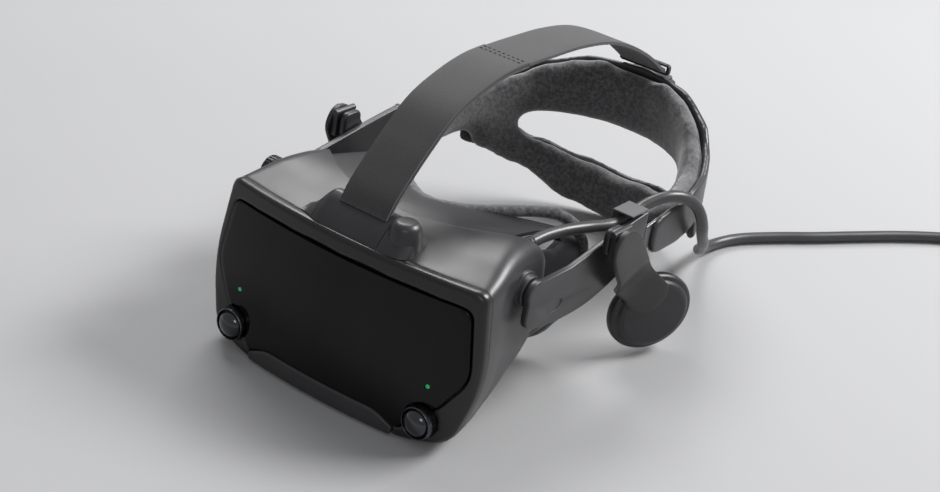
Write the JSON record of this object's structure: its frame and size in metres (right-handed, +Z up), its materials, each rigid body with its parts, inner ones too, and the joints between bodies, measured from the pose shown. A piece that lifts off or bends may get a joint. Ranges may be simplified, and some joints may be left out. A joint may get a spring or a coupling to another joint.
{
  "type": "vr headset",
  "caption": "Head-worn display with tilting visor, side arms, sliding rear cradle with dial, off-ear speakers, top strap and a clipped tether lead.",
  "frame": {"origin": "on the table, under the middle of the headset's box as it stands on the visor's underside and the rear cradle's lower edge", "axes": "-Y is where the visor faces, +X is the wearer's left, +Z is up from the table"},
  "size_m": [0.4619, 0.4874, 0.1661],
  "materials": {
    "shell": "satin moulded plastic",
    "satin": "fine-textured plastic",
    "gloss": "polished tinted plastic",
    "glass": "coated optical glass",
    "metal": "brushed",
    "light": "frosted light guide",
    "cloth": "tight woven webbing",
    "foam": "heathered knit over foam",
    "board": "circuit board",
    "cord": "smooth jacket"
  },
  "bodies": {
    "headband": {"left_side_arm": "shell", "right_side_arm": "shell", "left_hub_pin": "metal", "right_hub_pin": "metal", "left_slide_rail": "metal", "right_slide_rail": "metal", "cable_clip": "shell", "top_strap_front": "cloth", "top_strap_rear": "cloth", "left_speaker_mount": "shell", "right_speaker_mount": "shell", "tether_cord": "cord", "tether_coil": "cord", "coil_tie": "cloth", "breakaway_plug": "satin"},
    "visor": {"main_housing": "shell", "front_bezel": "satin", "lower_trim": "shell", "strap_anchor": "shell", "bay_tray": "satin", "main_board": "board", "left_camera_ring": "metal", "right_camera_ring": "metal", "left_camera_lens": "glass", "right_camera_lens": "glass", "left_indicator": "light", "right_indicator": "light", "left_hub_barrel": "shell", "right_hub_barrel": "shell", "gasket_frame": "satin", "face_gasket": "foam", "cable_gland": "cord"},
    "faceplate": {"faceplate": "gloss"},
    "lens_carriage": {"lens_carriage": "satin"},
    "relief_knob": {"relief_knob": "satin"},
    "ipd_slider": {"ipd_slider": "satin"},
    "system_button": {"system_button": "satin"},
    "left_eyetube": {"left_eyetube": "satin", "left_display": "glass", "left_eye_lens": "glass"},
    "right_eyetube": {"right_eyetube": "satin", "right_display": "glass", "right_eye_lens": "glass"},
    "cradle": {"rear_shell": "shell", "rear_pad": "foam", "strap_buckle": "satin"},
    "adjuster_dial": {"adjuster_dial": "satin", "dial_pinion": "metal"},
    "left_speaker_arm": {"left_stem_guide": "metal"},
    "left_speaker": {"left_speaker_stem": "shell", "left_speaker_shell": "satin", "left_speaker_grille": "foam", "left_speaker_driver": "metal"},
    "right_speaker_arm": {"right_stem_guide": "metal"},
    "right_speaker": {"right_speaker_stem": "shell", "right_speaker_shell": "satin", "right_speaker_grille": "foam", "right_speaker_driver": "metal"}
  },
  "joints": [
    {"name": "visor_tilt", "type": "hinge", "parent": "headband", "child": "visor", "pos_m": [0, -0.09857, 0.08087], "axis": [1, 0, 0], "range_deg": [-4, 8], "deforming": ["top_strap_front", "tether_cord"]},
    {"name": "cradle_slide", "type": "slide", "parent": "headband", "child": "cradle", "axis": [0, 0.9972, 0.075], "range_m": [-0.006, 0.02], "deforming": ["top_strap_rear"]},
    {"name": "dial_turn", "type": "hinge", "parent": "cradle", "child": "adjuster_dial", "pos_m": [0, 0.15927, 0.08804], "axis": [0, 0.9983, -0.0576], "range_deg": [-50, 165]},
    {"name": "faceplate_pull", "type": "slide", "parent": "visor", "child": "faceplate", "axis": [0, -0.9983, 0.0576], "range_m": [0, 0.025]},
    {"name": "relief_turn", "type": "hinge", "parent": "visor", "child": "relief_knob", "pos_m": [-0.0957, -0.09857, 0.08087], "axis": [1, 0, 0], "range_deg": [0, 120]},
    {"name": "lens_relief", "type": "slide", "parent": "visor", "child": "lens_carriage", "axis": [0, 0.9983, -0.0576], "range_m": [0, 0.0079]},
    {"name": "ipd_travel", "type": "slide", "parent": "visor", "child": "ipd_slider", "axis": [1, 0, 0], "range_m": [-0.005, 0.005]},
    {"name": "left_eyetube_slide", "type": "slide", "parent": "lens_carriage", "child": "left_eyetube", "axis": [1, 0, 0], "range_m": [-0.003, 0.003]},
    {"name": "right_eyetube_slide", "type": "slide", "parent": "lens_carriage", "child": "right_eyetube", "axis": [1, 0, 0], "range_m": [-0.003, 0.003]},
    {"name": "button_press", "type": "slide", "parent": "visor", "child": "system_button", "axis": [0, 0.0576, 0.9983], "range_m": [0, 0.001], "stiffness_N_per_m": 600, "springref_m": -0.0005},
    {"name": "left_speaker_swing", "type": "hinge", "parent": "headband", "child": "left_speaker_arm", "pos_m": [0.0997, -0.03247, 0.0981], "axis": [0, -0.9983, 0.0576], "range_deg": [0, 30]},
    {"name": "left_speaker_height", "type": "slide", "parent": "left_speaker_arm", "child": "left_speaker", "axis": [0, 0.2854, -0.9584], "range_m": [-0.004, 0.01]},
    {"name": "right_speaker_swing", "type": "hinge", "parent": "headband", "child": "right_speaker_arm", "pos_m": [-0.0997, -0.03247, 0.0981], "axis": [0, 0.9983, -0.0576], "range_deg": [0, 30]},
    {"name": "right_speaker_height", "type": "slide", "parent": "right_speaker_arm", "child": "right_speaker", "axis": [0, 0.2854, -0.9584], "range_m": [-0.004, 0.01]}
  ],
  "couplings": [
    {"joint": "dial_turn", "follows": "cradle_slide", "rad_per_m": 142.8},
    {"joint": "relief_turn", "follows": "lens_relief", "rad_per_m": 263.16},
    {"joint": "left_eyetube_slide", "follows": "ipd_travel", "ratio": 0.5},
    {"joint": "right_eyetube_slide", "follows": "ipd_travel", "ratio": -0.5}
  ]
}
